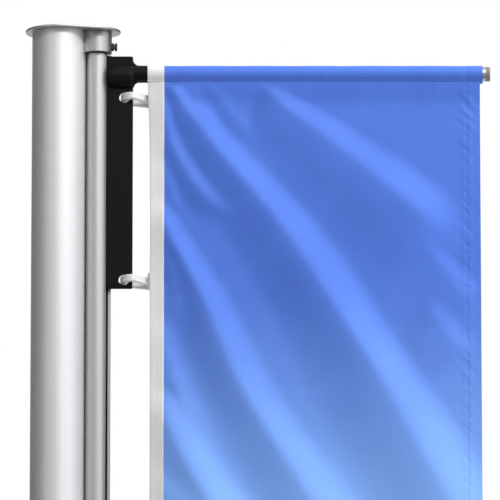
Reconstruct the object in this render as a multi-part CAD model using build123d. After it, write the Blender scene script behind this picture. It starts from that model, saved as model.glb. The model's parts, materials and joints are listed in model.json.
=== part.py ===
from build123d import *
from math import acos, atan2, cos, hypot, sin
import os

# Outrigger-banner flagpole. Millimetres, +Z up, origin on the mast axis at ground level.
# +X points along the boom at rest, and the banner is seen from -Y.

# Mast
mast_height = 5000.0
pole_diameter = 100.0
pole_wall = 3.0

# Base flange and the collar that the pole is welded into
flange_side = 240.0
flange_thickness = 12.0
flange_corner_radius = 20.0
flange_edge = 2.0
anchor_spacing = 180.0
anchor_hole_diameter = 18.0
collar_height = 60.0
collar_wall = 6.0
collar_chamfer = 4.0

# Cap plate over the pole and the upper bearing
cap_thickness = 4.5
cap_overhang = 12.5
cap_nose_radius = 44.5
cap_edge_radius = 1.8

# Slotted hoist tube that turns beside the pole
pole_to_tube_gap = 1.2
tube_diameter = 38.0
tube_wall = 2.4
fin_projection = 8.8
fin_thickness = 2.5
strip_width = 3.4
strip_thickness = 1.2
plug_depth = 10.0
plug_gap = 0.1

# Buffer strip on the pole that closes the gap behind the tube's nearest line
buffer_start = 6.0
buffer_width = 4.0
buffer_stand = 1.3

# Bearings of the hoist tube
journal_diameter = 28.0
bush_wall = 3.0
bush_flange_thickness = 1.6
bearing_wall = 10.7
bearing_height = 39.0
bearing_edge = 1.0
cup_floor = 6.0
lower_bearing_top = 240.0
running_gap = 0.3
thrust_gap = 0.3
journal_end_gap = 4.0

# Lock screw through the upper bearing
screw_diameter = 8.0
screw_hole_gap = 0.2
screw_drop = 26.0
screw_head_across = 13.0
screw_head_height = 4.6
screw_neck = 1.2
screw_nut_height = 4.2

# Carriage that slides on the tube
carriage_gap = 5.2
carriage_height = 440.0
carriage_reach = 67.8
plate_thickness = 10.0
plate_edge_radius = 2.5
plate_corner_radius = 3.0
guide_gap = 0.4
lip_gap = 0.5
shoe_height = 90.0
shoe_end_gap = 6.0

# Boom and its socket on the carriage
boom_drop = 33.4
boom_diameter = 27.0
boom_wall = 2.0
boom_show = 6.0
boom_plug_length = 8.5
boom_plug_edge = 2.0
boom_plug_spigot = 15.0
socket_wall = 2.6
socket_reach = 94.5
socket_fillet = 12.5
socket_sink = 0.5
boss_gap = 1.5
boss_lead = 3.0
boss_swell = 6.0
boss_round = 9.0
boss_inset = 3.0
fit_gap = 0.1

# Snap hooks, the eyes that take them and the webbing that ties them to the banner
hook_hole_diameter = 20.6
hook_hole_reach = 52.2
upper_hook_drop = 45.0
lower_hook_rise = 16.5
hook_bar = 8.0
hook_height = 13.5
hook_edge_radius = 2.0
hook_nose_radius = 20.3
hook_nose_offset = 5.0
hook_slack = 3.3
hook_heel_radius = 13.0
hook_heel_reach = 102.0
hook_heel_offset = 24.0
hook_tilt_degrees = 10.0
frame_bar = 3.0
frame_root = 15.0
frame_slot = 4.5
frame_side = 3.0
webbing_width = 20.0
webbing_thickness = 1.2
webbing_gap = 0.3
webbing_loop = 11.0

# Small gliders that hold the hooks below the carriage
glider_height = 60.0
glider_reach = 67.8
glider_corner_radius = 8.0

# Banner
banner_drop = 2000.0
banner_reach = 712.8
banner_bottom_margin = 40.0
hem_overhang = 5.0
hem_wall = 1.8
hem_gap = 0.4
cloth_thickness = 1.6
cloth_offset = 2.0
tape_width = 31.0

# One overrun serves every cut
overrun = 2.0

# Levels and places that follow from the sizes above
pole_radius = pole_diameter / 2
tube_radius = tube_diameter / 2
tube_bore = tube_radius - tube_wall
swivel_x = pole_radius + pole_to_tube_gap + tube_radius
cap_underside = mast_height - cap_thickness
bush_bore = journal_diameter / 2 + running_gap
bush_outer = bush_bore + bush_wall
bearing_radius = bush_outer + bearing_wall
bearing_face_x = swivel_x + bearing_radius
upper_bearing_foot = cap_underside - bearing_height
floor_top = lower_bearing_top - bearing_height
journal_length = bearing_height + bush_flange_thickness + thrust_gap - journal_end_gap
screw_z = cap_underside - screw_drop
tube_top = upper_bearing_foot - bush_flange_thickness - thrust_gap
tube_foot = lower_bearing_top + bush_flange_thickness + thrust_gap
web_half = plate_thickness / 2
slot_half = web_half + guide_gap
fin_front = slot_half + strip_thickness
fin_reach = tube_radius + fin_projection
shoe_radius = tube_bore - guide_gap
carriage_top = upper_bearing_foot - carriage_gap
carriage_foot = carriage_top - carriage_height
plate_inner_x = swivel_x + tube_radius + lip_gap
plate_outer_x = swivel_x + carriage_reach
shoe_top = tube_top - plug_depth - shoe_end_gap
boom_radius = boom_diameter / 2
boom_z = carriage_top - boom_drop
socket_radius = boom_radius + socket_wall
socket_end_x = swivel_x + socket_reach
boss_start_x = swivel_x + fin_reach + boss_gap
boss_radius = socket_radius + boss_swell
boss_z = boom_z - boss_swell
boom_start_x = boss_start_x + boss_round
hook_hole_x = swivel_x + hook_hole_reach
hook_nose_x = hook_hole_x - hook_hole_diameter / 2 + hook_slack + hook_nose_radius
hook_heel_x = swivel_x + hook_heel_reach
tape_x = socket_end_x + lip_gap
panel_x = tape_x + tape_width
banner_end_x = swivel_x + banner_reach
boom_end_x = banner_end_x + hem_overhang + boom_show
banner_foot = boom_z - banner_drop
hem_bore = boom_radius + hem_gap
hem_radius = hem_bore + hem_wall
cloth_back = cloth_thickness / 2 - cloth_offset
frame_corner = frame_bar / 2 * 2 ** 0.5
frame_x = tape_x + lip_gap
webbing_x = frame_x + frame_root + frame_slot + frame_bar / 2
webbing_y = cloth_back + webbing_thickness + frame_corner + webbing_gap
carriage_hook_levels = [boom_z - upper_hook_drop, carriage_foot + lower_hook_rise]
glider_count = 3
lowest_hook = banner_foot + banner_bottom_margin
glider_pitch = (carriage_hook_levels[-1] - lowest_hook) / glider_count
glider_levels = [carriage_hook_levels[-1] - glider_pitch * (i + 1) for i in range(glider_count)]
from_foot = (Align.CENTER, Align.CENTER, Align.MIN)


def upright(radius, low, high, x=0):
    return Pos(x, 0, low) * Cylinder(radius, high - low, align=from_foot)


def along_x(radius, start, end, z):
    return Pos(start, 0, z) * Rot(0, 90, 0) * Cylinder(radius, end - start, align=from_foot)


def slab(x_range, y_range, z_range):
    size = [high - low for low, high in (x_range, y_range, z_range)]
    corner = (Align.MIN, Align.MIN, Align.MIN)
    return Pos(x_range[0], y_range[0], z_range[0]) * Box(*size, align=corner)


def hexagon(across, start, end, z):
    prism = extrude(RegularPolygon(across / 2, 6, major_radius=False), end - start)
    return Pos(start, 0, z) * Rot(0, 90, 0) * prism


def thick(outline, height):
    return Pos(0, 0, -height / 2) * extrude(outline, height)


def hull_of_circles(near, far):
    # Two circles and the straight sides that touch both
    (near_x, near_y, near_radius), (far_x, far_y, far_radius) = near, far
    heading = atan2(far_y - near_y, far_x - near_x)
    spread = acos((near_radius - far_radius) / hypot(far_x - near_x, far_y - near_y))
    corners = []
    for x, y, radius, sides in ((*near, (1, -1)), (*far, (-1, 1))):
        for side in sides:
            angle = heading + side * spread
            corners.append((x + radius * cos(angle), y + radius * sin(angle)))
    outline = Polygon(*corners, align=None)
    return outline + Pos(near_x, near_y) * Circle(near_radius) + Pos(far_x, far_y) * Circle(far_radius)


# Fixed mast
def base_flange():
    plate = RectangleRounded(flange_side, flange_side, flange_corner_radius)
    plate -= GridLocations(anchor_spacing, anchor_spacing, 2, 2) * Circle(anchor_hole_diameter / 2)
    flange = extrude(plate, flange_thickness)
    rim = flange.faces().sort_by(Axis.Z)[-1].outer_wire().edges()
    return chamfer(rim, flange_edge)


def base_collar():
    collar_radius = pole_radius + collar_wall
    ring = upright(collar_radius, flange_thickness, flange_thickness + collar_height)
    ring = chamfer(ring.edges().sort_by(Axis.Z)[-1], collar_chamfer)
    return ring - upright(pole_radius, 0, mast_height)


def main_pole():
    outside = upright(pole_radius, flange_thickness, cap_underside)
    return outside - upright(pole_radius - pole_wall, 0, mast_height)


def cap_plate():
    outline = hull_of_circles(
        (0, 0, pole_radius + cap_overhang), (swivel_x, 0, cap_nose_radius)
    )
    plate = Pos(0, 0, cap_underside) * extrude(outline, cap_thickness)
    rims = plate.faces().sort_by(Axis.Z)
    return fillet(rims[0].edges() + rims[-1].edges(), cap_edge_radius)


def bearing_shell(low, high):
    shell = upright(bearing_radius, low, high, swivel_x)
    shell = fillet(shell.edges().filter_by(GeomType.CIRCLE), bearing_edge)
    return shell - upright(pole_radius, 0, mast_height)


def upper_bearing():
    shell = bearing_shell(upper_bearing_foot, cap_underside)
    shell -= upright(bush_outer, 0, mast_height, swivel_x)
    hole = screw_diameter / 2 + screw_hole_gap
    return shell - along_x(hole, swivel_x, bearing_face_x + overrun, screw_z)


def lower_bearing():
    cup = bearing_shell(floor_top - cup_floor, lower_bearing_top)
    return cup - upright(bush_outer, floor_top, mast_height, swivel_x)


def bush(low, high, flange_low, flange_high):
    body = upright(bush_outer, low, high, swivel_x)
    body += upright(tube_radius, flange_low, flange_high, swivel_x)
    return body - upright(bush_bore, 0, mast_height, swivel_x)


def lock_screw():
    head_start = bearing_face_x + screw_nut_height + screw_neck
    shank = along_x(screw_diameter / 2, swivel_x + bush_outer, head_start, screw_z)
    return shank + hexagon(screw_head_across, head_start, head_start + screw_head_height, screw_z)


def lock_nut():
    nut_end = bearing_face_x + screw_nut_height
    nut = hexagon(screw_head_across, bearing_face_x, nut_end, screw_z)
    hole = screw_diameter / 2 + screw_hole_gap
    return nut - along_x(hole, bearing_face_x - overrun, nut_end + overrun, screw_z)


def buffer_strip():
    strip = slab(
        (0, pole_radius + buffer_stand),
        (buffer_start, buffer_start + buffer_width),
        (lower_bearing_top, upper_bearing_foot),
    )
    return strip - upright(pole_radius, 0, mast_height)


# Turning hoist tube
def hoist_tube():
    fin_middle = fin_front + fin_thickness / 2
    section = Circle(tube_radius) + Pos(fin_reach / 2, fin_middle) * Rectangle(fin_reach, fin_thickness)
    section -= Circle(tube_bore)
    section -= Pos(tube_radius / 2, 0) * Rectangle(tube_radius, 2 * slot_half)
    return Pos(swivel_x, 0, tube_foot) * extrude(section, tube_top - tube_foot)


def glide_strip():
    start = swivel_x + tube_radius
    return slab((start, start + strip_width), (slot_half, fin_front), (tube_foot, tube_top))


def end_plug(face, direction, journal_length):
    body_end = face - direction * plug_depth
    journal_end = face + direction * journal_length
    body = upright(tube_bore - plug_gap, min(face, body_end), max(face, body_end), swivel_x)
    return body + upright(
        journal_diameter / 2, min(face, journal_end), max(face, journal_end), swivel_x
    )


# Sliding carriage, gliders and hooks
def guided_web(outer_x, low, high):
    return slab((swivel_x, outer_x), (-web_half, web_half), (low, high))


def hook_hole(z):
    bore = Cylinder(hook_hole_diameter / 2, plate_thickness + 2 * overrun)
    return Pos(hook_hole_x, 0, z) * Rot(90, 0, 0) * bore


def plate_from(outline):
    plate = extrude(Plane.XZ * outline, web_half, both=True)
    sides = plate.faces().filter_by(Axis.Y)
    return fillet(sides[0].outer_wire().edges() + sides[1].outer_wire().edges(), plate_edge_radius)


def carriage_outline():
    width = plate_outer_x - plate_inner_x
    middle_z = (carriage_top + carriage_foot) / 2
    outline = Pos(plate_inner_x + width / 2, middle_z) * RectangleRounded(
        width, carriage_height, plate_corner_radius
    )
    # Concave webs that run the plate's edge out into the socket
    blend_end = plate_outer_x + socket_fillet
    blend_half = socket_radius - socket_sink + socket_fillet
    outline += Pos((plate_inner_x + blend_end) / 2, boom_z) * Rectangle(
        blend_end - plate_inner_x, 2 * blend_half
    )
    for side in (-1, 1):
        outline -= Pos(blend_end, boom_z + side * blend_half) * Circle(socket_fillet)
    return outline


def rounded_boss(start):
    boss = along_x(boss_radius, start, plate_outer_x + boss_inset, boss_z)
    return fillet(boss.edges().filter_by(GeomType.CIRCLE), boss_round)


def socket_boss():
    # Swollen root of the socket, flush with it on top and rounded off at both ends.
    # Its front half runs on to the plate's inner edge; the tube's fin stops the rear half.
    front = rounded_boss(plate_inner_x + boss_lead)
    front -= slab(
        (swivel_x, socket_end_x), (0, 2 * boss_radius), (boss_z - 2 * boss_radius, boss_z + 2 * boss_radius)
    )
    return front + rounded_boss(boss_start_x)


def carriage_plate():
    body = plate_from(carriage_outline())
    shoe_foot = carriage_foot + shoe_end_gap
    body += guided_web(plate_inner_x + plate_edge_radius, shoe_foot, shoe_top)
    for low in (shoe_foot, shoe_top - shoe_height):
        body += upright(shoe_radius, low, low + shoe_height, swivel_x)
    body += socket_boss() + along_x(socket_radius, boom_start_x, socket_end_x, boom_z)
    body -= along_x(boom_radius + fit_gap, boom_start_x, socket_end_x + overrun, boom_z)
    for z in carriage_hook_levels:
        body -= hook_hole(z)
    return body


def glider(z):
    outer_x = swivel_x + glider_reach
    width = outer_x - plate_inner_x
    outline = Pos(plate_inner_x + width / 2, z) * RectangleRounded(
        width, glider_height, glider_corner_radius
    )
    body = plate_from(outline)
    half = glider_height / 2 - shoe_end_gap
    body += guided_web(plate_inner_x + plate_edge_radius, z - half, z + half)
    body += upright(shoe_radius, z - half, z + half, swivel_x)
    return body - hook_hole(z)


def snap_hook(z):
    nose = (hook_nose_x, hook_nose_offset, hook_nose_radius)
    heel = (hook_heel_x, hook_heel_offset, hook_heel_radius)
    inner_nose = (hook_nose_x, hook_nose_offset, hook_nose_radius - hook_bar)
    inner_heel = (hook_heel_x, hook_heel_offset, hook_heel_radius - hook_bar)
    ring = thick(hull_of_circles(nose, heel) - hull_of_circles(inner_nose, inner_heel), hook_height)
    rims = ring.faces().sort_by(Axis.Z)
    ring = fillet(rims[0].edges() + rims[-1].edges(), hook_edge_radius)
    ring = Rot(-hook_tilt_degrees, 0, 0) * ring
    # Flat frame with a slot that takes the webbing
    frame_y = (webbing_y - frame_bar / 2, webbing_y + frame_bar / 2)
    frame_half = webbing_width / 2 + webbing_gap
    slot_x = webbing_x - frame_bar / 2 - frame_slot
    frame = slab(
        (frame_x, webbing_x + frame_bar / 2),
        frame_y,
        (-frame_half - frame_side, frame_half + frame_side),
    )
    frame -= slab(
        (slot_x, slot_x + frame_slot),
        (frame_y[0] - overrun, frame_y[1] + overrun),
        (-frame_half, frame_half),
    )
    # Web that roots the frame in the ring's near arm
    frame += slab(
        (frame_x, frame_x + frame_root / 2),
        (frame_y[0], hook_heel_offset / 2),
        (-hook_height / 2, hook_height / 2),
    )
    return Pos(0, 0, z) * (ring + frame)


def hook_webbing(z):
    inner = frame_corner + webbing_gap
    loop = hull_of_circles(
        (webbing_x, webbing_y, inner + webbing_thickness),
        (webbing_x + webbing_loop, webbing_y, inner + webbing_thickness),
    )
    loop -= hull_of_circles(
        (webbing_x, webbing_y, inner), (webbing_x + webbing_loop, webbing_y, inner)
    )
    return Pos(0, 0, z) * thick(loop, webbing_width)


# Boom and banner
def boom_tube():
    outside = along_x(boom_radius, boom_start_x, boom_end_x, boom_z)
    bore = along_x(boom_radius - boom_wall, boom_start_x - overrun, boom_end_x + overrun, boom_z)
    return outside - bore


def boom_end_plug():
    head = along_x(boom_radius, boom_end_x, boom_end_x + boom_plug_length, boom_z)
    head = fillet(head.edges().sort_by(Axis.X)[-1], boom_plug_edge)
    spigot_radius = boom_radius - boom_wall - fit_gap
    return head + along_x(spigot_radius, boom_end_x - boom_plug_spigot, boom_end_x, boom_z)


def hem_sleeve(start, end):
    sleeve = along_x(hem_radius, start, end, boom_z)
    return sleeve - along_x(hem_bore, start - overrun, end + overrun, boom_z)


def hanging_cloth(start, end):
    cloth = slab((start, end), (cloth_back - cloth_thickness, cloth_back), (banner_foot, boom_z))
    return cloth - along_x(hem_radius, start - overrun, end + overrun, boom_z)


def header_tape():
    return hem_sleeve(tape_x, panel_x) + hanging_cloth(tape_x, panel_x)


pieces = {
    "base_flange": base_flange(),
    "base_collar": base_collar(),
    "main_pole": main_pole(),
    "cap_plate": cap_plate(),
    "upper_bearing": upper_bearing(),
    "upper_bush": bush(
        upper_bearing_foot, cap_underside, upper_bearing_foot - bush_flange_thickness, upper_bearing_foot
    ),
    "lock_screw": lock_screw(),
    "lock_nut": lock_nut(),
    "lower_bearing": lower_bearing(),
    "lower_bush": bush(
        floor_top, lower_bearing_top, lower_bearing_top, lower_bearing_top + bush_flange_thickness
    ),
    "buffer_strip": buffer_strip(),
    "hoist_tube": hoist_tube(),
    "glide_strip": glide_strip(),
    "upper_end_plug": end_plug(tube_top, 1, journal_length),
    "lower_end_plug": end_plug(tube_foot, -1, journal_length),
    "carriage_plate": carriage_plate(),
    "boom_tube": boom_tube(),
    "boom_end_plug": boom_end_plug(),
    "header_tape": header_tape(),
    "banner_hem": hem_sleeve(panel_x, banner_end_x + hem_overhang),
    "banner_panel": hanging_cloth(panel_x, banner_end_x),
}
for number, level in enumerate(carriage_hook_levels + glider_levels, start=1):
    pieces[f"snap_hook_{number}"] = snap_hook(level)
    pieces[f"hook_webbing_{number}"] = hook_webbing(level)
for number, level in enumerate(glider_levels, start=1):
    pieces[f"glider_{number}"] = glider(level)

os.makedirs("parts", exist_ok=True)
for name, shape in pieces.items():
    shape.label = name
    export_step(shape, f"parts/{name}.step")
    print(name, len(shape.solids()), round(shape.volume))
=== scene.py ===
import json
import math

import bpy
import numpy as np
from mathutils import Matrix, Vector


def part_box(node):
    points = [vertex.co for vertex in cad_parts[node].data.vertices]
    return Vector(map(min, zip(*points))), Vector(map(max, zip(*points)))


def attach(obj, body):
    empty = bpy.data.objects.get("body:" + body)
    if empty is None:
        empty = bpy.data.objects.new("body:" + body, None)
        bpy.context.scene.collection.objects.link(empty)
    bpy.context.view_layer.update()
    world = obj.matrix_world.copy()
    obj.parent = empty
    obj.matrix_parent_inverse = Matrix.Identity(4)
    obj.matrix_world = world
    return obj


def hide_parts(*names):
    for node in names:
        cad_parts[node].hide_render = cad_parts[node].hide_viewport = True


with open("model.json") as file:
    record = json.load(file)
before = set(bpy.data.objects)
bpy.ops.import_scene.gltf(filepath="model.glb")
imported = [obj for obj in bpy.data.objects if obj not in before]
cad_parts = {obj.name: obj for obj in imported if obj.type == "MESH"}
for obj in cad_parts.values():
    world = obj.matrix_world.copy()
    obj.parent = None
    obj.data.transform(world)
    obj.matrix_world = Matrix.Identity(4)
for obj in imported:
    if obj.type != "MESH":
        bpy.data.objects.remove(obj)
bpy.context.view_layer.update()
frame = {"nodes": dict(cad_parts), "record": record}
nodes = frame["nodes"]
print("frame loaded:", len(nodes), "nodes")


def hexToLinear(code):
    channels = [int(code[i:i + 2], 16) / 255 for i in (1, 3, 5)]
    linear = [c / 12.92 if c <= 0.04045 else ((c + 0.055) / 1.055) ** 2.4 for c in channels]
    return (*linear, 1.0)


# Camera: a long lens 2 m above the ground, looking up at the head of the mast
cameraSpec = {
    "target": (0.3555, 0.0, 4.5845),
    "distance": 13.0,
    "riseDegrees": 11.2,
    "frameWidth": 0.926,
    "sensor": 36.0,
    "farClip": 200.0,
}


def buildCamera(spec):
    data = bpy.data.cameras.new("photoCamera")
    data.sensor_width = spec["sensor"]
    data.lens = spec["sensor"] * spec["distance"] / spec["frameWidth"]
    data.clip_end = spec["farClip"]
    camera = bpy.data.objects.new("photoCamera", data)
    bpy.context.scene.collection.objects.link(camera)
    rise = math.radians(spec["riseDegrees"])
    back = Vector((0, -math.cos(rise), -math.sin(rise)))
    camera.location = Vector(spec["target"]) + back * spec["distance"]
    camera.rotation_euler = (-back).to_track_quat("-Z", "Y").to_euler()
    bpy.context.scene.camera = camera


buildCamera(cameraSpec)
print("camera placed")


def addNode(tree, kind, settings=None, inputs=None):
    node = tree.nodes.new(kind)
    for name, value in (settings or {}).items():
        setattr(node, name, value)
    for name, value in (inputs or {}).items():
        if isinstance(value, bpy.types.NodeSocket):
            tree.links.new(value, node.inputs[name])
        else:
            node.inputs[name].default_value = value
    return node


def newMaterial(name, settings):
    material = bpy.data.materials.new(name)
    material.use_nodes = True
    tree = material.node_tree
    tree.nodes.clear()
    shader = addNode(tree, "ShaderNodeBsdfPrincipled", inputs=settings)
    addNode(tree, "ShaderNodeOutputMaterial", inputs={"Surface": shader.outputs[0]})
    return material, tree, shader


def grainFinish(tree, shader, grain, spec):
    # One grain value drives the colour, the roughness and the relief
    colour = addNode(tree, "ShaderNodeMixRGB", inputs={
        0: grain, 1: hexToLinear(spec["lowColour"]), 2: hexToLinear(spec["highColour"])})
    low, high = spec["roughness"]
    rough = addNode(tree, "ShaderNodeMapRange", inputs={"Value": grain, "To Min": low, "To Max": high})
    bump = addNode(tree, "ShaderNodeBump", inputs={
        "Height": grain, "Strength": spec["bump"], "Distance": spec["bumpDepth"]})
    for name, node in (("Base Color", colour), ("Roughness", rough), ("Normal", bump)):
        tree.links.new(node.outputs[0], shader.inputs[name])


# Studio: white surround, a broad front lamp, a key lamp that throws the cap's shadow, a side lamp
# that rakes the cloth, a rear lamp for the back, and dark cards that show only in the pieces' shine
studioSpec = {
    "worldFill": 0.28,
    "aim": (0.35, 0.0, 4.5),
    "floorSize": 60.0,
    "floorColour": "#E9E8E6",
    "floorRoughness": 0.9,
    "floorGlow": 0.5,
    "cardColour": "#525253",
    "cardRoughness": 1.0,
}
# Angles in degrees from the front and from level, lengths in metres, power in watts
lampSpecs = {
    "frontLamp": {"azimuth": 38.0, "rise": 26.0, "distance": 7.5, "size": (8.5, 5.0),
                  "power": 60.0, "mirrored": True},
    "keyLamp": {"azimuth": 22.0, "rise": 38.0, "distance": 7.5, "size": (3.4, 0.9),
                "power": 275.0, "mirrored": True},
    "sideLamp": {"azimuth": 81.0, "rise": 32.0, "distance": 6.5, "size": (3.6, 3.6),
                 "power": 585.0, "mirrored": False},
    "rearLamp": {"azimuth": 190.0, "rise": 30.0, "distance": 7.5, "size": (6.0, 4.0),
                 "power": 230.0, "mirrored": False},
}
cardCorners = {
    "leftCard": [(-4.0, -3.4, 0.6), (-4.0, 8.0, 0.6), (-4.0, 8.0, 8.6), (-4.0, -3.4, 8.6)],
    "rearCard": [(4.4, 0.4, 0.6), (2.2, 5.0, 0.6), (2.2, 5.0, 8.6), (4.4, 0.4, 8.6)],
    "frontCard": [(-3.0, -6.0, 3.0), (5.0, -6.0, 3.0), (5.0, -6.0, 6.5), (-3.0, -6.0, 6.5)],
    "floorCard": [(-5.0, -6.0, 0.001), (5.0, -6.0, 0.001), (5.0, -0.8, 0.001), (-5.0, -0.8, 0.001)],
}


def backgroundRays(tree):
    # 1 where the camera sees the background, directly, mirrored or through a piece,
    # and 0 where the background lights the pieces
    path = addNode(tree, "ShaderNodeLightPath")
    shown = path.outputs["Is Camera Ray"]
    for label in ("Is Glossy Ray", "Is Transmission Ray"):
        both = addNode(tree, "ShaderNodeMath", {"operation": "MAXIMUM"}, {0: shown, 1: path.outputs[label]})
        shown = both.outputs[0]
    return shown


def buildWorld(spec):
    world = bpy.data.worlds.new("studioWorld")
    bpy.context.scene.world = world
    world.use_nodes = True
    tree = world.node_tree
    tree.nodes.clear()
    white = addNode(tree, "ShaderNodeBackground", inputs={"Strength": 1.0, "Color": (1, 1, 1, 1)})
    fill = addNode(tree, "ShaderNodeBackground",
                   inputs={"Strength": spec["worldFill"], "Color": (1, 1, 1, 1)})
    mix = addNode(tree, "ShaderNodeMixShader",
                  inputs={0: backgroundRays(tree), 1: fill.outputs[0], 2: white.outputs[0]})
    addNode(tree, "ShaderNodeOutputWorld", inputs={"Surface": mix.outputs[0]})


def quadObject(name, corners, material):
    mesh = bpy.data.meshes.new(name)
    mesh.from_pydata(corners, [], [(0, 1, 2, 3)])
    mesh.materials.append(material)
    quad = bpy.data.objects.new(name, mesh)
    bpy.context.scene.collection.objects.link(quad)
    return quad


def buildLamp(name, spec, aim):
    lamp = bpy.data.lights.new(name, "AREA")
    lamp.shape = "RECTANGLE"
    lamp.size, lamp.size_y = spec["size"]
    lamp.energy = spec["power"]
    lampObject = bpy.data.objects.new(name, lamp)
    bpy.context.scene.collection.objects.link(lampObject)
    azimuth, rise = math.radians(spec["azimuth"]), math.radians(spec["rise"])
    level = math.cos(rise)
    out = Vector((math.sin(azimuth) * level, -math.cos(azimuth) * level, math.sin(rise)))
    lampObject.location = Vector(aim) + out * spec["distance"]
    lampObject.rotation_euler = (-out).to_track_quat("-Z", "Y").to_euler()
    lampObject.visible_glossy = spec["mirrored"]


def buildCard(name, corners, material):
    card = quadObject(name, corners, material)
    for ray in ("camera", "diffuse", "shadow", "transmission"):
        setattr(card, "visible_" + ray, False)


def buildStudio(spec):
    for name, lampSpec in lampSpecs.items():
        buildLamp(name, lampSpec, spec["aim"])
    half = spec["floorSize"] / 2
    floorColour = hexToLinear(spec["floorColour"])
    paint, tree, shader = newMaterial("paleFloor", {
        "Base Color": floorColour, "Roughness": spec["floorRoughness"], "Emission Color": floorColour})
    # the glow pales the floor where it is seen or mirrored, and adds no light to the pieces
    glow = addNode(tree, "ShaderNodeMath", {"operation": "MULTIPLY"},
                   {0: backgroundRays(tree), 1: spec["floorGlow"]})
    tree.links.new(glow.outputs[0], shader.inputs["Emission Strength"])
    corners = [(-half, -half, 0), (half, -half, 0), (half, half, 0), (-half, half, 0)]
    floor = quadObject("studioFloor", corners, paint)
    cardColour = hexToLinear(spec["cardColour"])
    felt = newMaterial("greyCard", {"Base Color": cardColour, "Roughness": spec["cardRoughness"]})[0]
    for name, corners in cardCorners.items():
        buildCard(name, corners, felt)


buildWorld(studioSpec)
buildStudio(studioSpec)
bpy.context.scene.view_settings.view_transform = "Standard"
print("studio lit")

mm = 0.001

# Natural anodised aluminium, extruded: a silky grey with faint draw lines along the tube
extrusionSpec = {
    "lowColour": "#D8D8D9",
    "highColour": "#E4E4E5",
    "metallic": 0.72,
    "lineWidth": 2.5 * mm,  # real draw lines are about 0.2 mm; drawn coarser so that they show
    "lineLength": 900 * mm,
    "roughness": (0.49, 0.56),
    "bump": 0.02,
    "bumpDepth": 1.0 * mm,
}
# The hoist tube is the same extrusion in a darker copy: painted shade, as the tube is lit less than the pole
hoistShadeSpec = {
    **extrusionSpec,
    "lowColour": "#B8B8B9",
    "highColour": "#C5C5C6",
    "metallic": 0.8,
    "roughness": (0.42, 0.48),
}


def anodisedExtrusion(name, spec):
    material, tree, shader = newMaterial(name, {"Metallic": spec["metallic"]})
    place = addNode(tree, "ShaderNodeTexCoord")
    stretch = (1 / spec["lineWidth"], 1 / spec["lineWidth"], 1 / spec["lineLength"])
    drawn = addNode(tree, "ShaderNodeMapping", inputs={"Vector": place.outputs["Object"], "Scale": stretch})
    lines = addNode(tree, "ShaderNodeTexNoise",
                    inputs={"Vector": drawn.outputs[0], "Scale": 1.0, "Detail": 3.0})
    grainFinish(tree, shader, lines.outputs["Fac"], spec)
    return material


# Anodised aluminium plate and turned rings: the same grey, bead blasted, so the grain has no direction
plateSpec = {
    "lowColour": "#ADADAE",
    "highColour": "#BDBDBE",
    "grain": 1.6 * mm,  # the blast's grain is about 0.1 mm; drawn coarser so that it shows
    "roughness": (0.4, 0.48),
    "bump": 0.05,
    "bumpDepth": 0.2 * mm,
}


def blastedPlate(name, spec):
    material, tree, shader = newMaterial(name, {"Metallic": 1.0})
    place = addNode(tree, "ShaderNodeTexCoord")
    grain = addNode(tree, "ShaderNodeTexNoise",
                    inputs={"Vector": place.outputs["Object"], "Scale": 1 / spec["grain"], "Detail": 4.0})
    grainFinish(tree, shader, grain.outputs["Fac"], spec)
    return material


# Turned aluminium: brighter, with a finer grain than the plate
turnedSpec = {
    "lowColour": "#B4B4B6",
    "highColour": "#CDCDCF",
    "grain": 0.8 * mm,  # turning marks lie about 0.2 mm apart; drawn coarser so that they show
    "roughness": (0.22, 0.34),
    "bump": 0.05,
    "bumpDepth": 0.2 * mm,
}

# Glass-filled polyamide, moulded black: near black with a dull sheen and a fine spark-eroded grain
polyamideSpec = {
    "lowColour": "#0B0B0C",
    "highColour": "#131314",
    "grain": 1.5 * mm,  # the tool's grain is about 0.15 mm; drawn coarser so that it shows
    "roughness": (0.42, 0.56),
    "specular": 0.1,
    "bump": 0.08,
    "bumpDepth": 0.3 * mm,
}

# The strip in the gap behind the hoist tube is the same plastic, painted mid grey: it stands in for the
# shade in that gap and sets how dark that painted shade line shows
gapShadeSpec = {
    **polyamideSpec,
    "lowColour": "#7A7A7A",
    "highColour": "#8C8C8B",
    "roughness": (0.7, 0.85),
}

# Acetal, moulded white: smooth and slightly waxy, with soft flow marks
acetalSpec = {
    "lowColour": "#CDCDCB",
    "highColour": "#D8D8D6",
    "grain": 9 * mm,
    "roughness": (0.3, 0.42),
    "specular": 0.45,
    "bump": 0.04,
    "bumpDepth": 0.3 * mm,
    "subsurface": 0.6,
    "depth": 8 * mm,
}

# Soft PVC end plug, moulded grey: matt with a fine grain
plugSpec = {
    "lowColour": "#77736F",
    "highColour": "#8A8682",
    "grain": 1.4 * mm,  # the tool's grain is about 0.15 mm; drawn coarser so that it shows
    "roughness": (0.5, 0.62),
    "specular": 0.4,
    "bump": 0.08,
    "bumpDepth": 0.3 * mm,
}


def mouldedPlastic(name, spec):
    material, tree, shader = newMaterial(name, {
        "Specular IOR Level": spec["specular"], "Subsurface Weight": spec.get("subsurface", 0.0),
        "Subsurface Radius": (1, 1, 1), "Subsurface Scale": spec.get("depth", mm)})
    place = addNode(tree, "ShaderNodeTexCoord")
    grain = addNode(tree, "ShaderNodeTexNoise",
                    inputs={"Vector": place.outputs["Object"], "Scale": 1 / spec["grain"], "Detail": 3.0})
    grainFinish(tree, shader, grain.outputs["Fac"], spec)
    return material


# Weld metal: bright, pebbled aluminium with a soft shine
weldMetalSpec = {
    "lowColour": "#A9A9AA",
    "highColour": "#CFCFD0",
    "grain": 2.0 * mm,
    "roughness": (0.3, 0.48),
    "bump": 0.1,
    "bumpDepth": 0.2 * mm,
}

# Blackened steel screw: dark, with bright wear where a spanner has turned it
screwSpec = {
    "lowColour": "#232324",
    "highColour": "#5E5E60",
    "grain": 2.2 * mm,
    "roughness": (0.24, 0.42),
    "bump": 0.05,
    "bumpDepth": 0.2 * mm,
}

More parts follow.
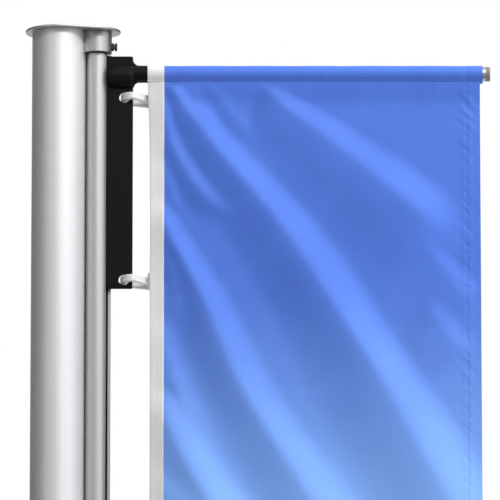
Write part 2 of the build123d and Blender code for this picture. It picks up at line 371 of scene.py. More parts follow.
# Woven polyester tape: white, matt, with a fine cross rib
tapeSpec = {
    "lowColour": "#DBDADB",
    "highColour": "#E5E4E5",
    "rib": 2.4 * mm,  # the real rib is about 0.6 mm; drawn coarser so that it shows
    "roughness": 0.78,
    "sheen": 0.1,
    "mottle": 60 * mm,
    "weaveShare": 0.3,
    "sheenRoughness": 0.4,
    "specular": 0.3,
    "bump": 0.12,
    "bumpDepth": 0.2 * mm,
}

# Satin woven polyester: bright blue with a soft sheen over a fine plain weave
panelLow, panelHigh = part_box("banner_panel")
satinSpec = {
    "seamX": panelHigh.x - 25 * mm,
    "lowColour": "#4A70D2",
    "highColour": "#537DDE",
    "paleLow": "#80B1FC",
    "paleHigh": "#8CBAFE",
    "paleLevels": (4.58, 3.93),  # the blue runs paler between these heights
    "thread": 1.3 * mm,  # threads lie about 0.3 mm apart; drawn coarser so that they show
    "mottle": 90 * mm,
    "roughness": 0.55,
    "sheen": 0.08,
    "weaveShare": 0.3,
    "sheenRoughness": 0.4,
    "specular": 0.25,
    "bump": 0.05,
    "bumpDepth": 0.2 * mm,
    "seamReach": 15 * mm,
    "puckerSize": (7 * mm, 17 * mm),
    "puckerDepth": 1.1 * mm,
    "puckerSlant": 42.0,
    "creaseSize": (13 * mm, 80 * mm),
    "creaseDepth": 0.16 * mm,
    "creaseSlant": 33.0,
}


def wovenCloth(name, spec, spacing):
    material, tree, shader = newMaterial(name, {
        "Roughness": spec["roughness"], "Sheen Weight": spec["sheen"],
        "Sheen Roughness": spec["sheenRoughness"], "Specular IOR Level": spec["specular"]})
    place = addNode(tree, "ShaderNodeUVMap", {"uv_map": "cloth"}).outputs[0]
    waves = []
    for direction in ("X", "Y"):
        # a wave texture's period is 2 pi over 20 at scale 1
        wave = addNode(tree, "ShaderNodeTexWave", {"bands_direction": direction},
                       {"Vector": place, "Scale": math.pi / (10 * spacing)})
        waves.append(wave.outputs["Fac"])
    weave = addNode(tree, "ShaderNodeMath", {"operation": "MULTIPLY"}, {0: waves[0], 1: waves[1]}).outputs[0]
    cloud = addNode(tree, "ShaderNodeTexNoise",
                    inputs={"Vector": place, "Scale": 1 / spec["mottle"], "Detail": 2.0}).outputs["Fac"]
    shade = addNode(tree, "ShaderNodeMath", {"operation": "MULTIPLY_ADD"},
                    {0: weave, 1: spec["weaveShare"], 2: cloud}).outputs[0]
    colour = addNode(tree, "ShaderNodeMixRGB", inputs={
        0: shade, 1: hexToLinear(spec["lowColour"]), 2: hexToLinear(spec["highColour"])}).outputs[0]
    if "paleLevels" in spec:
        start, end = spec["paleLevels"]
        pale = addNode(tree, "ShaderNodeMixRGB", inputs={
            0: shade, 1: hexToLinear(spec["paleLow"]), 2: hexToLinear(spec["paleHigh"])}).outputs[0]
        height = addNode(tree, "ShaderNodeSeparateXYZ", inputs={0: place}).outputs["Y"]
        share = addNode(tree, "ShaderNodeMapRange", {"interpolation_type": "SMOOTHSTEP"},
                        {"Value": height, "From Min": start, "From Max": end})
        paled = addNode(tree, "ShaderNodeMixRGB", inputs={0: share.outputs[0], 1: colour, 2: pale})
        colour = paled.outputs[0]
    tree.links.new(colour, shader.inputs["Base Color"])
    bump = addNode(tree, "ShaderNodeBump", inputs={
        "Height": weave, "Strength": spec["bump"], "Distance": spec["bumpDepth"]})
    if "seamX" in spec:
        bump = seamRelief(tree, spec, place, bump)
    tree.links.new(bump.outputs[0], shader.inputs["Normal"])
    return material


def seamRelief(tree, spec, place, bump):
    # Short slanting puckers beside the side seam, and long faint creases along the folds
    relief = []
    for kind in ("pucker", "crease"):
        size, slant = spec[kind + "Size"], spec[kind + "Slant"]
        turned = addNode(tree, "ShaderNodeMapping",
                         inputs={"Vector": place, "Rotation": (0, 0, math.radians(-slant))})
        scaled = addNode(tree, "ShaderNodeMapping",
                         inputs={"Vector": turned.outputs[0], "Scale": (1 / size[0], 1 / size[1], 1)})
        relief.append(addNode(tree, "ShaderNodeTexNoise",
                              inputs={"Vector": scaled.outputs[0], "Scale": 1.0, "Detail": 1.0}))
    across = addNode(tree, "ShaderNodeSeparateXYZ", inputs={0: place}).outputs["X"]
    offset = addNode(tree, "ShaderNodeMath", {"operation": "SUBTRACT"}, {0: across, 1: spec["seamX"]})
    gap = addNode(tree, "ShaderNodeMath", {"operation": "ABSOLUTE"}, {0: offset.outputs[0]}).outputs[0]
    near = addNode(tree, "ShaderNodeMapRange", {"interpolation_type": "SMOOTHSTEP"},
                   {"Value": gap, "From Min": spec["seamReach"], "From Max": 0.0}).outputs[0]
    puckers = addNode(tree, "ShaderNodeMath", {"operation": "MULTIPLY"},
                      {0: relief[0].outputs["Fac"], 1: near}).outputs[0]
    for height, depth in ((puckers, spec["puckerDepth"]), (relief[1].outputs["Fac"], spec["creaseDepth"])):
        bump = addNode(tree, "ShaderNodeBump", inputs={"Height": height, "Strength": 1.0, "Distance": depth,
                                                       "Normal": bump.outputs[0]})
    return bump


# Polyester sewing thread: twisted, slightly glossy
threadSpec = {
    "blue": ("#3F6CD2", "#5B8AEA"),
    "white": ("#D4D3D4", "#E9E8E9"),
    "twist": 1.2 * mm,
    "roughness": 0.55,
}


def sewingThread(name, colours, spec):
    material, tree, shader = newMaterial(name, {"Roughness": spec["roughness"]})
    place = addNode(tree, "ShaderNodeTexCoord")
    twist = addNode(tree, "ShaderNodeTexWave", {"bands_direction": "DIAGONAL"},
                    {"Vector": place.outputs["Object"], "Scale": math.pi / (10 * spec["twist"])})
    low, high = colours
    colour = addNode(tree, "ShaderNodeMixRGB", inputs={
        0: twist.outputs["Fac"], 1: hexToLinear(low), 2: hexToLinear(high)})
    tree.links.new(colour.outputs[0], shader.inputs["Base Color"])
    return material


finishes = {
    "extrusion": anodisedExtrusion("anodisedExtrusion", extrusionSpec),
    "hoistPaintedShade": anodisedExtrusion("anodisedHoistPaintedShade", hoistShadeSpec),
    "plate": blastedPlate("blastedAluminium", plateSpec),
    "turned": blastedPlate("turnedAluminium", turnedSpec),
    "screw": blastedPlate("blackenedSteel", screwSpec),
    "weld": blastedPlate("weldedAluminium", weldMetalSpec),
    "polyamide": mouldedPlastic("mouldedPolyamide", polyamideSpec),
    "gapShade": mouldedPlastic("gapShadePolyamide", gapShadeSpec),
    "acetal": mouldedPlastic("mouldedAcetal", acetalSpec),
    "plug": mouldedPlastic("mouldedPvc", plugSpec),
    "tape": wovenCloth("wovenPolyesterTape", tapeSpec, tapeSpec["rib"]),
    "satin": wovenCloth("satinPolyester", satinSpec, satinSpec["thread"]),
    "blueThread": sewingThread("blueSewingThread", threadSpec["blue"], threadSpec),
    "whiteThread": sewingThread("whiteSewingThread", threadSpec["white"], threadSpec),
}
nodeFinish = {
    "anodised_aluminium": "plate",
    "turned_aluminium": "turned",
    "black_polyamide": "polyamide",
    "blackened_steel": "screw",
    "grey_plug_plastic": "plug",
    "white_acetal": "acetal",
    "white_polyester_tape": "tape",
    "blue_polyester": "satin",
}
# Pieces whose finish differs from the rest of their slot
# the buffer strip's grey is painted shade for the gap, and the hoist tube's darker copy is painted shade
ownFinish = {"main_pole": "extrusion", "hoist_tube": "hoistPaintedShade", "buffer_strip": "gapShade"}
for part in frame["record"]["subparts"]:
    finish = ownFinish.get(part["node"], nodeFinish[part["material_slot"]])
    piece = nodes[part["node"]]
    piece.data.materials.clear()
    piece.data.materials.append(finishes[finish])
print("finishes set")


smoothDegrees = 50.0


def meshPiece(name, points, faces, material, body, uvs=None):
    mesh = bpy.data.meshes.new(name)
    mesh.from_pydata([tuple(p) for p in points], [], faces)
    mesh.materials.append(material)
    mesh.polygons.foreach_set("use_smooth", [True] * len(mesh.polygons))
    if uvs is not None:
        layer = mesh.uv_layers.new(name="cloth")
        order = np.empty(len(mesh.loops), dtype=np.int64)
        mesh.loops.foreach_get("vertex_index", order)
        layer.data.foreach_set("uv", np.asarray(uvs)[order].ravel())
    mesh.update()
    mesh.set_sharp_from_angle(angle=math.radians(smoothDegrees))
    piece = bpy.data.objects.new(name, mesh)
    bpy.context.scene.collection.objects.link(piece)
    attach(piece, body)
    return piece


def closedSheet(front, back):
    rows, columns = front.shape[:2]
    count = rows * columns
    points = np.concatenate([front.reshape(-1, 3), back.reshape(-1, 3)])
    index = np.arange(count).reshape(rows, columns)
    a, b = index[:-1, :-1].ravel(), index[:-1, 1:].ravel()
    c, d = index[1:, 1:].ravel(), index[1:, :-1].ravel()
    faces = np.stack([a, b, c, d], 1).tolist()
    faces += (np.stack([a, d, c, b], 1) + count).tolist()
    rim = np.concatenate([index[0, :], index[1:, -1], index[-1, -2::-1], index[-2:0:-1, 0]])
    following = np.roll(rim, -1)
    faces += np.stack([rim, rim + count, following + count, following], 1).tolist()
    return points, faces


# Banner: folds fan out from beyond its upper left corner, and the sewn edges pucker
hemLow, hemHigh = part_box("banner_hem")
tapeLow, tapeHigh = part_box("header_tape")
boomLow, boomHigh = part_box("boom_tube")
boomZ = (boomLow.z + boomHigh.z) / 2
boomRadius = (boomHigh.z - boomLow.z) / 2
hemRadius = (hemHigh.z - hemLow.z) / 2

bannerSpec = {
    "thickness": 1.0 * mm,
    "hemThickness": 1.1 * mm,
    "restY": (panelLow.y + panelHigh.y) / 2,
    "seamDrop": 4.0 * mm,
    "tuck": 0.8 * mm,
    "sideHem": panelHigh.x - satinSpec["seamX"],
    "footHem": 30.0 * mm,
    "fineCell": 3.2 * mm,
    "edgeCell": 4.48 * mm,
    "cell": 6.2 * mm,
    "fineZone": 60 * mm,
    "topZone": 90 * mm,
    "steepness": 0.39,
    "crest": 0.5,
    "flank": 0.7,
    "startRun": 2,
    "widest": 1.2,
    "lowerRange": (250 * mm, 800 * mm),
    "lowerEase": 0.25,
    "fade": 1.4,
    "spread": 0.5,
    "wander": ((4 * mm, 11.0, 4.0, 0.0), (3 * mm, 27.0, -13.0, 1.0)),
    "wanderDrop": 200 * mm,
    "topFade": 14 * mm,
    "lap": 5.6 * mm,
    "lapFade": 45 * mm,
    "sidePucker": 0.6 * mm,
    "sideReach": 13 * mm,
    "sideSlope": 0.9,
    "sideEven": 0.35,
    "topPucker": 0.25 * mm,
    "topReach": 30 * mm,
    "tapePucker": 0.6 * mm,
    "tapeReach": 26 * mm,
    "tapeStart": 6 * mm,
    "grooveWidth": 2.2 * mm,
    "grooveDepth": 0.7 * mm,
    "hemStep": 1.5 * mm,
}

# Each fold: the bright flank's start and end, right of and below the panel's upper left corner,
# its widths there, how far it bows to the upper right between them, its share of the steepness
# and how many widths its far slope takes
foldLines = [
    {"start": (17 * mm, 4 * mm), "end": (506 * mm, 670 * mm), "widths": (12 * mm, 66 * mm), "bow": 25 * mm,
     "share": 1.08, "back": 2.8},
    {"start": (192 * mm, 10 * mm), "end": (468 * mm, 208 * mm), "widths": (12 * mm, 50 * mm), "bow": 6 * mm,
     "share": 0.82, "back": 4.0},
    {"start": (0 * mm, 226 * mm), "end": (298 * mm, 765 * mm), "widths": (12 * mm, 61 * mm), "bow": -12 * mm,
     "share": 1.05, "back": 2.1},
    {"start": (0 * mm, 26 * mm), "end": (82 * mm, 206 * mm), "widths": (10 * mm, 22 * mm), "bow": -13 * mm,
     "share": 1.05, "back": 2.4},
    {"start": (0 * mm, 150 * mm), "end": (30 * mm, 215 * mm), "widths": (8 * mm, 14 * mm), "bow": 0.0,
     "share": 0.5, "back": 2.4},
    {"start": (0 * mm, 310 * mm), "end": (26 * mm, 420 * mm), "widths": (8 * mm, 16 * mm), "bow": 0.0,
     "share": 0.5, "back": 2.4},
    {"start": (0 * mm, 455 * mm), "end": (88 * mm, 695 * mm), "widths": (12 * mm, 36 * mm), "bow": -5 * mm,
     "share": 0.6, "back": 2.4},
    {"start": (0 * mm, 590 * mm), "end": (130 * mm, 790 * mm), "widths": (14 * mm, 56 * mm), "bow": -6 * mm,
     "share": 1.15, "back": 2.2},
    {"start": (48 * mm, 0 * mm), "end": (92 * mm, 62 * mm), "widths": (7 * mm, 15 * mm), "bow": 0.0,
     "share": 0.34, "back": 2.4},
    {"start": (90 * mm, 2 * mm), "end": (150 * mm, 74 * mm), "widths": (8 * mm, 18 * mm), "bow": 0.0,
     "share": 0.28, "back": 2.4},
    {"start": (500 * mm, 318 * mm), "end": (560 * mm, 388 * mm), "widths": (16 * mm, 30 * mm), "bow": 0.0,
     "share": 0.4, "back": 5.0},
    {"start": (498 * mm, 420 * mm), "end": (560 * mm, 490 * mm), "widths": (14 * mm, 30 * mm), "bow": 0.0,
     "share": 0.5, "back": 5.0},
]

# The folds further down repeat at an even pitch, every second one longer and steeper
lowerSpec = {
    "count": 4,
    "first": 724 * mm,
    "pitch": 270 * mm,
    "reach": (330 * mm, 390 * mm),
    "fall": 480 * mm,
    "widths": (14 * mm, 76 * mm),
    "bow": -10 * mm,
    "share": (0.7, 0.85),
    "back": 2.4,
}
for number in range(lowerSpec["count"]):
    drop = lowerSpec["first"] + number * lowerSpec["pitch"]
    foldLines.append({
        "start": (0.0, drop),
        "end": (lowerSpec["reach"][number % 2], drop + lowerSpec["fall"]),
        "widths": lowerSpec["widths"],
        "bow": lowerSpec["bow"],
        "share": lowerSpec["share"][number % 2],
        "back": lowerSpec["back"],
    })

# Pucker waves, in radians a metre: a main wave that bends, so that no two puckers match,
# and a weaker second one
sideWave = {"rate": 262, "bend": 1.6, "bendRate": 47, "second": 0.5, "secondRate": 143, "phase": 2.0}
unevenWave = {"rate": 9.7, "bend": 1.1, "bendRate": 23, "second": 0.0, "secondRate": 0.0, "phase": 0.0}
topWave = {"rate": 170, "bend": 1.5, "bendRate": 37, "second": 0.5, "secondRate": 101, "phase": 0.7}
edgeWave = {"rate": 128, "bend": 1.7, "bendRate": 23, "second": 0.5, "secondRate": 77, "phase": 0.0}
tunnelWave = {**topWave, "second": 0.6}


def ripple(along, bendAlong, wave):
    main = np.sin(wave["rate"] * along + wave["bend"] * np.sin(wave["bendRate"] * bendAlong))
    return main + wave["second"] * np.sin(wave["secondRate"] * along + wave["phase"])


def drift(u, v, terms):
    # each term: size, radians a metre along u and along v, phase
    return sum(size * np.sin(uRate * u + vRate * v + phase) for size, uRate, vRate, phase in terms)


def ease(value, low, high):
    t = np.clip((value - low) / (high - low), 0.0, 1.0)
    return t * t * (3 - 2 * t)


def foldHeight(right, down, fold, spec):
    startX, startZ = fold["start"]
    runX, runZ = fold["end"][0] - startX, fold["end"][1] - startZ
    length = math.hypot(runX, runZ)
    runX, runZ = runX / length, runZ / length
    along = (right - startX) * runX + (down - startZ) * runZ
    across = (right - startX) * runZ - (down - startZ) * runX
    share = along / length
    across -= 4 * fold["bow"] * share * (1 - share)
    narrow, wide = fold["widths"]
    width = narrow + (wide - narrow) * np.clip(share, 0.0, spec["widest"]) ** spec["spread"]
    q = across / width
    ridge = ease(q, -fold["back"], -spec["crest"]) * (1 - ease(q, -spec["flank"], spec["flank"]))
    run = spec["startRun"] * narrow
    ends = ease(along, -run, run) * (1 - ease(along, length, spec["fade"] * length))
    softer = 1 - spec["lowerEase"] * ease(down, *spec["lowerRange"])
    return spec["steepness"] * softer * fold["share"] * width * ridge * ends


def clothShift(x, z, spec):
    # the edge tucked under the tape lies level with the panel's left edge
    right, down = np.maximum(x - panelLow.x, 0.0), panelHigh.z - z
    wander = drift(down, right, spec["wander"]) * ease(down, 0, spec["wanderDrop"])
    shift = np.zeros_like(right)
    for fold in foldLines:
        shift += foldHeight(right + wander, down, fold, spec)
    shift *= ease(down, 0.0, spec["topFade"])
    # the top edge laps on to the front of the sewn tunnel
    shift += spec["lap"] * (1 - ease(down, 0.0, spec["lapFade"]))
    # Puckers along the sewn edges: slanting at the side seam, upright under the boom, level beside the tape
    inward = panelHigh.x - spec["sideHem"] - x
    slant = z - spec["sideSlope"] * inward
    uneven = spec["sideEven"] + (1 - spec["sideEven"]) * ripple(z, z, unevenWave) ** 2
    near = np.exp(-np.abs(inward) / spec["sideReach"])
    shift += spec["sidePucker"] * uneven * ripple(slant, z, sideWave) * near
    shift += spec["topPucker"] * ripple(x, x, topWave) * np.exp(-down / spec["topReach"])
    near = np.exp(-right / spec["tapeReach"]) * ease(right, 0, spec["tapeStart"])
    shift += spec["tapePucker"] * ripple(z, z, edgeWave) * near
    return -shift


def gridLines(low, high, lowZone, lowCell, cell, highZone, highCell):
    middle = high - low - lowZone - highZone
    parts = [np.linspace(low, low + lowZone, max(2, round(lowZone / lowCell)) + 1)[:-1],
             np.linspace(low + lowZone, high - highZone, round(middle / cell) + 1)[:-1],
             np.linspace(high - highZone, high, max(2, round(highZone / highCell)) + 1)]
    return np.concatenate(parts)


def clothSurface(x, z, spec):
    seamX = panelHigh.x - spec["sideHem"]
    seamZ = panelLow.z + spec["footHem"]
    grooves = [np.exp(-(gap / spec["grooveWidth"]) ** 2) for gap in (x - seamX, z - seamZ)]
    y = spec["restY"] - spec["thickness"] / 2 + clothShift(x, z, spec) + spec["grooveDepth"] * sum(grooves)
    step = spec["hemStep"]
    double = np.maximum(ease(x - seamX, -step, step), ease(seamZ - z, -step, step))
    back = y + spec["thickness"] + spec["hemThickness"] * double
    return y, back


def buildBanner(spec):
    xs = gridLines(panelLow.x - spec["tuck"], panelHigh.x, spec["fineZone"], spec["edgeCell"], spec["cell"],
                   spec["fineZone"], spec["fineCell"])
    top = boomZ - hemRadius + spec["seamDrop"] / 2
    zs = gridLines(panelLow.z, top, spec["fineZone"], spec["edgeCell"], spec["cell"],
                   spec["topZone"], spec["fineCell"])[::-1]
    x, z = np.meshgrid(xs, zs)
    y, back = clothSurface(x, z, spec)
    front = np.stack([x, y, z], -1)
    rear = np.stack([x, back, z], -1)
    # closedSheet's faces turn away from the viewer, so they are flipped
    points, faces = closedSheet(front, rear)
    uvs = np.tile(np.stack([x.ravel(), z.ravel()], 1), (2, 1))
    flipped = [f[::-1] for f in faces]
    cloth = meshPiece("banner_cloth", points, flipped, finishes["satin"], "banner_carriage", uvs)
    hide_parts("banner_panel")
    return cloth


bannerCloth = buildBanner(bannerSpec)
print("banner cloth:", len(bannerCloth.data.polygons), "faces")

# Sewn tunnels round the boom: the blue hem and the folded end of the white tape
tunnelSpec = {
    "gap": 0.9 * mm,
    "wall": 1.2 * mm,
    "drawDown": 2.4 * mm,
    "drawPower": 7,
    "around": 112,
    "cell": 4.0 * mm,
    "pucker": 0.2 * mm,
    "billow": 0.12 * mm,
    "billowRate": 61,
    "billowLobes": 2,
    "ridge": 1.1 * mm,
    "ridgeLevel": 0.86,
    "ridgeWidth": 0.06,
}


def tunnelRing(x, angles, spec, radius):
    draw = spec["drawDown"] * np.maximum(0.0, -np.sin(angles)) ** spec["drawPower"]
    low = 0.5 - 0.5 * np.sin(angles)
    # the seam's turned edge stands out as a low ridge
    ridge = spec["ridge"] * np.exp(-((np.sin(angles) + spec["ridgeLevel"]) / spec["ridgeWidth"]) ** 2)
    pucker = spec["pucker"] * ripple(x, x, tunnelWave) * low ** 2
    billow = spec["billow"] * np.sin(spec["billowRate"] * x + spec["billowLobes"] * angles)
    return radius + draw + ridge + pucker + billow


def buildTunnel(name, start, end, spec, material, node=None):
    xs = np.linspace(start, end, round((end - start) / spec["cell"]) + 1)
    angles = np.linspace(0, 2 * math.pi, spec["around"], endpoint=False)
    rings = []
    for offset in (spec["gap"] + spec["wall"], spec["gap"]):
        for x in (xs if offset > spec["gap"] else xs[::-1]):
            radius = tunnelRing(x, angles, spec, boomRadius + offset)
            y, z = radius * np.cos(angles), boomZ + radius * np.sin(angles)
            rings.append(np.stack([np.full_like(angles, x), y, z], 1))
    points = np.concatenate(rings)
    total = len(rings)
    around = spec["around"]
    faces = []
    for ring in range(total):
        after = (ring + 1) % total
        for step in range(around):
            following = (step + 1) % around
            faces.append((ring * around + step, ring * around + following,
                          after * around + following, after * around + step))
    arc = boomZ + np.tile(angles * boomRadius, total)
    uvs = np.stack([points[:, 0], arc], 1)
    tunnel = meshPiece(name, points, [f[::-1] for f in faces], material, "banner_carriage", uvs)
    if node:
        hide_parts(node)
    return tunnel


topHem = buildTunnel("banner_top_hem", hemLow.x, hemHigh.x, tunnelSpec,
                     finishes["satin"], "banner_hem")
tapeTop = buildTunnel("tape_top_loop", tapeLow.x, tapeHigh.x, tunnelSpec,
                      finishes["tape"])
print("tunnels sewn round the boom")

hookNumbers = range(1, 6)

# Header tape: a folded strip that takes the banner's edge and hangs almost flat
headerSpec = {
    "thickness": 1.5 * mm,
    "lap": 0.1 * mm,
    "sway": 0.5 * mm,
    "swayWaves": ((1.0, 17.0, 0.0, 0.4), (0.5, 41.0, 30.0, 0.0)),
    "swayDrop": 100 * mm,
    "lead": 0.5 * mm,
    "taper": 5.4 * mm,
    "taperDrop": 106 * mm,
    "hookGrip": 36 * mm,
    "hookPull": 0.2,
    "follow": 0.4,
    "round": 1.2 * mm,
    "edgeShare": 0.05,
    "cells": 12,
    "cell": 8 * mm,
    "seamInsets": (3 * mm, 9 * mm),
}


def tapeFront(x, z, spec):
    # The tape's right edge moves with the cloth sewn to it; its left edge hangs from the hooks
    across = np.clip((x - tapeLow.x) / (tapeHigh.x - tapeLow.x), 0, 1)
    edge = clothShift(np.full_like(x, panelLow.x), z, bannerSpec)
    drop = panelHigh.z - z
    sway = spec["sway"] * drift(z, x, spec["swayWaves"]) * ease(drop, 0, spec["swayDrop"]) * (1 - across)
    share = spec["follow"] + (1 - spec["follow"]) * across
    return bannerSpec["restY"] + edge * share + sway - spec["thickness"] / 2 - spec["lead"]


def buildTape(spec):
    top = boomZ - hemRadius + bannerSpec["seamDrop"] / 2
    zs = np.linspace(top, tapeLow.z, round((top - tapeLow.z) / spec["cell"]) + 1)
    share, z = np.meshgrid(np.linspace(0, 1, spec["cells"] + 1), zs)
    # between the hooks the tape's left edge draws in a little
    drawn = 1 - np.exp(-(top - z) / spec["taperDrop"])
    for number in hookNumbers:
        low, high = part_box(f"hook_webbing_{number}")
        drawn *= 1 - spec["hookPull"] * np.exp(-((z - (low.z + high.z) / 2) / spec["hookGrip"]) ** 2)
    left = tapeLow.x + spec["taper"] * drawn
    right = tapeHigh.x + spec["lap"]
    x = left + (right - left) * share
    edge = np.minimum(x - left, right - x) / spec["round"]
    thin = 1 - np.sqrt(np.clip(1 - (1 - np.clip(edge, 0, 1)) ** 2, spec["edgeShare"], 1.0))
    y = tapeFront(x, z, spec)
    front = np.stack([x, y + spec["thickness"] / 2 * thin, z], -1)
    rear = np.stack([x, y + spec["thickness"] * (1 - thin / 2) + spec["lead"], z], -1)
    points, faces = closedSheet(front, rear)
    uvs = np.tile(np.stack([x.ravel(), z.ravel()], 1), (2, 1))
    flipped = [f[::-1] for f in faces]
    tape = meshPiece("header_tape_strip", points, flipped, finishes["tape"], "banner_carriage", uvs)
    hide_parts("header_tape")
    return tape


headerTape = buildTape(headerSpec)
print("header tape hung")

# Webbing loops that tie the snap hooks to the tape
webbingSpec = {"thickness": 1.2 * mm, "round": 0.25 * mm, "pathStep": 2 * mm, "segments": 10, "rows": 6}


def buildWebbing(node, spec):
    low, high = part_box(node)
    radius = (high.y - low.y) / 2
    middleY = (low.y + high.y) / 2
    leftX, rightX = low.x + radius, high.x - radius
    path = []
    for centre, first in ((leftX, math.pi / 2), (rightX, -math.pi / 2)):
        for step in range(spec["segments"] + 1):
            angle = first + math.pi * step / spec["segments"]
            path.append((centre, math.cos(angle), math.sin(angle)))
    points, uvs, faces = [], [], []
    count = len(path)
    heights = np.linspace(low.z, high.z, spec["rows"] + 1)
    for offset in (0.0, spec["thickness"]):
        for z in heights:
            shrink = spec["round"] if z in (heights[0], heights[-1]) else 0.0
            inset = offset - shrink if offset else shrink
            for number, (centre, c, s) in enumerate(path):
                points.append((centre + (radius - inset) * c, middleY + (radius - inset) * s, z))
                uvs.append((z, number * spec["pathStep"]))
    rows = len(heights)
    for side in (0, 1):
        for row in range(rows - 1):
            for step in range(count):
                a = (side * rows + row) * count + step
                b = (side * rows + row) * count + (step + 1) % count
                quad = (a, b, b + count, a + count)
                faces.append(quad if side == 0 else quad[::-1])
    for row, flip in ((0, True), (rows - 1, False)):
        for step in range(count):
            a = row * count + step
            b = row * count + (step + 1) % count
            quad = (a, b, b + rows * count, a + rows * count)
            faces.append(quad[::-1] if flip else quad)
    name = node.replace("hook_webbing", "webbing_loop")
    loop = meshPiece(name, points, faces, finishes["tape"], "banner_carriage", uvs)
    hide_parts(node)


for number in hookNumbers:
    buildWebbing(f"hook_webbing_{number}", webbingSpec)
print("webbing looped")

# Lock stitches, laid by geometry nodes along the seams
stitchSpec = {
    "pitch": 3.4 * mm,
    "length": 2.5 * mm,
    "thread": 0.55 * mm,
    "stand": 0.15 * mm,
    "sides": 5,
    "startGap": 2 * mm,
    "endGap": 4 * mm,
    "downSteps": 700,
    "acrossSteps": 260,
    "tapeSteps": 500,
}


def stitchTree(name, material):
    tree = bpy.data.node_groups.new(name, "GeometryNodeTree")
    tree.interface.new_socket("Geometry", in_out="INPUT", socket_type="NodeSocketGeometry")
    for label in ("Pitch", "Length", "Thread"):
        tree.interface.new_socket(label, in_out="INPUT", socket_type="NodeSocketFloat")
    tree.interface.new_socket("Geometry", in_out="OUTPUT", socket_type="NodeSocketGeometry")
    given = addNode(tree, "NodeGroupInput")
    seam = addNode(tree, "GeometryNodeMeshToCurve", inputs={"Mesh": given.outputs["Geometry"]})
    spaced = addNode(tree, "GeometryNodeResampleCurve", {"mode": "LENGTH"},
                     {"Curve": seam.outputs[0], "Length": given.outputs["Pitch"]})
    thread = addNode(tree, "GeometryNodeMeshCylinder", {"fill_type": "TRIANGLE_FAN"},
                     {"Vertices": stitchSpec["sides"], "Radius": given.outputs["Thread"],
                      "Depth": given.outputs["Length"]})
    along = addNode(tree, "GeometryNodeInputTangent")
    turned = addNode(tree, "FunctionNodeAlignRotationToVector", {"axis": "Z"}, {"Vector": along.outputs[0]})
    placed = addNode(tree, "GeometryNodeInstanceOnPoints",
                     inputs={"Points": spaced.outputs[0], "Instance": thread.outputs["Mesh"],
                             "Rotation": turned.outputs[0]})
    real = addNode(tree, "GeometryNodeRealizeInstances", inputs={"Geometry": placed.outputs[0]})
    done = addNode(tree, "GeometryNodeSetMaterial",
                   inputs={"Geometry": real.outputs[0], "Material": material})
    addNode(tree, "NodeGroupOutput", inputs={"Geometry": done.outputs[0]})
    return tree


def layAlong(name, seams, tree, values):
    points, edges = [], []
    for seam in seams:
        first = len(points)
        points += [tuple(p) for p in seam]
        edges += [(first + i, first + i + 1) for i in range(len(seam) - 1)]
    guide = bpy.data.meshes.new(name + "_guide")
    guide.from_pydata(points, edges, [])
    guideObject = bpy.data.objects.new(name + "_guide", guide)
    bpy.context.scene.collection.objects.link(guideObject)
    modifier = guideObject.modifiers.new("repeats", "NODES")
    modifier.node_group = tree
    for item in tree.interface.items_tree:
        if item.in_out == "INPUT" and item.name in values:
            modifier[item.identifier] = values[item.name]
    graph = bpy.context.evaluated_depsgraph_get()
    mesh = bpy.data.meshes.new_from_object(guideObject.evaluated_get(graph))
    bpy.data.objects.remove(guideObject)
    mesh.name = name
    laid = bpy.data.objects.new(name, mesh)
    bpy.context.scene.collection.objects.link(laid)
    return laid


def buildStitches(name, seams, material, spec):
    values = {"Pitch": spec["pitch"], "Length": spec["length"], "Thread": spec["thread"] / 2}
    stitches = layAlong(name, seams, stitchTree(name, material), values)
    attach(stitches, "banner_carriage")
    return stitches


def seamOnCloth(xs, zs, spec):
    x, z = np.broadcast_arrays(np.asarray(xs, float), np.asarray(zs, float))
    y, back = clothSurface(x, z, spec)
    return np.stack([x, y - stitchSpec["stand"], z], -1)


def seamLines(spec):
    sideX = panelHigh.x - spec["sideHem"]
    footZ = panelLow.z + spec["footHem"]
    topZ = boomZ - hemRadius - spec["seamDrop"]
    endGap = stitchSpec["endGap"]
    down = np.linspace(topZ, panelLow.z + endGap, stitchSpec["downSteps"])
    startX, endX = panelLow.x + stitchSpec["startGap"], panelHigh.x - endGap
    across = np.linspace(startX, endX, stitchSpec["acrossSteps"])
    runs = ((sideX, down), (across, footZ), (across, topZ))
    return [seamOnCloth(xs, zs, spec) for xs, zs in runs]


blueStitches = buildStitches("banner_stitches", seamLines(bannerSpec),
                             finishes["blueThread"], stitchSpec)


def tapeSeams(spec):
    top = boomZ - hemRadius - bannerSpec["seamDrop"]
    down = np.linspace(top, tapeLow.z + stitchSpec["endGap"], stitchSpec["tapeSteps"])
    lines = []
    for inset in spec["seamInsets"]:
        x = np.full_like(down, tapeHigh.x - inset)
        lines.append(np.stack([x, tapeFront(x, down, spec) - stitchSpec["stand"], down], -1))
    return lines


whiteStitches = buildStitches("tape_stitches", tapeSeams(headerSpec),
                              finishes["whiteThread"], stitchSpec)
print("seams stitched")

# Weld beads: rippled fillets round the collar's foot and its top, laid by geometry nodes
weldSpec = {"pitch": 3.2 * mm, "bead": 3.0 * mm, "squash": 0.55, "corners": 96, "segments": 12, "rings": 8}


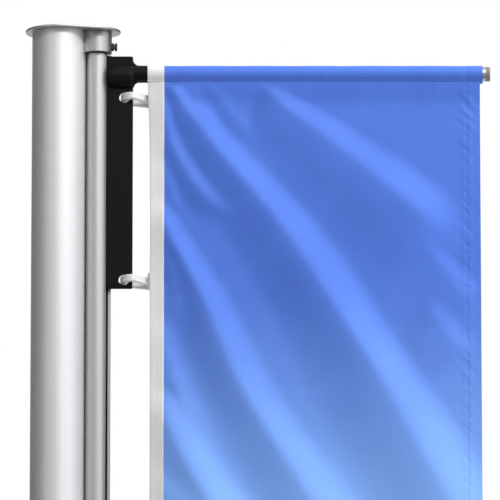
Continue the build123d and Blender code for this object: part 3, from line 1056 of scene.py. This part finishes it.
def weldTree(name, material):
    tree = bpy.data.node_groups.new(name, "GeometryNodeTree")
    tree.interface.new_socket("Geometry", in_out="INPUT", socket_type="NodeSocketGeometry")
    for label in ("Pitch", "Bead"):
        tree.interface.new_socket(label, in_out="INPUT", socket_type="NodeSocketFloat")
    tree.interface.new_socket("Geometry", in_out="OUTPUT", socket_type="NodeSocketGeometry")
    given = addNode(tree, "NodeGroupInput")
    seam = addNode(tree, "GeometryNodeMeshToCurve", inputs={"Mesh": given.outputs["Geometry"]})
    spaced = addNode(tree, "GeometryNodeResampleCurve", {"mode": "LENGTH"},
                     {"Curve": seam.outputs[0], "Length": given.outputs["Pitch"]})
    bead = addNode(tree, "GeometryNodeMeshUVSphere",
                   inputs={"Segments": weldSpec["segments"], "Rings": weldSpec["rings"],
                           "Radius": given.outputs["Bead"]})
    along = addNode(tree, "GeometryNodeInputTangent")
    turned = addNode(tree, "FunctionNodeAlignRotationToVector", {"axis": "Z"}, {"Vector": along.outputs[0]})
    placed = addNode(tree, "GeometryNodeInstanceOnPoints",
                     inputs={"Points": spaced.outputs[0], "Instance": bead.outputs["Mesh"],
                             "Rotation": turned.outputs[0], "Scale": (1, 1, weldSpec["squash"])})
    real = addNode(tree, "GeometryNodeRealizeInstances", inputs={"Geometry": placed.outputs[0]})
    smooth = addNode(tree, "GeometryNodeSetShadeSmooth", inputs={"Geometry": real.outputs[0]})
    done = addNode(tree, "GeometryNodeSetMaterial",
                   inputs={"Geometry": smooth.outputs[0], "Material": material})
    addNode(tree, "NodeGroupOutput", inputs={"Geometry": done.outputs[0]})
    return tree


def ringSeam(radius, z, corners):
    angles = np.linspace(0, 2 * math.pi, corners + 1)
    return np.stack([radius * np.cos(angles), radius * np.sin(angles), np.full_like(angles, z)], -1)


collarLow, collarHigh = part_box("base_collar")
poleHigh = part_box("main_pole")[1]
weldSeams = [ringSeam(collarHigh.x, collarLow.z, weldSpec["corners"]),
             ringSeam(poleHigh.x, collarHigh.z, weldSpec["corners"])]
weldValues = {"Pitch": weldSpec["pitch"], "Bead": weldSpec["bead"]}
welds = layAlong("base_welds", weldSeams, weldTree("base_welds", finishes["weld"]), weldValues)
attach(welds, "mast")
print("base welded")
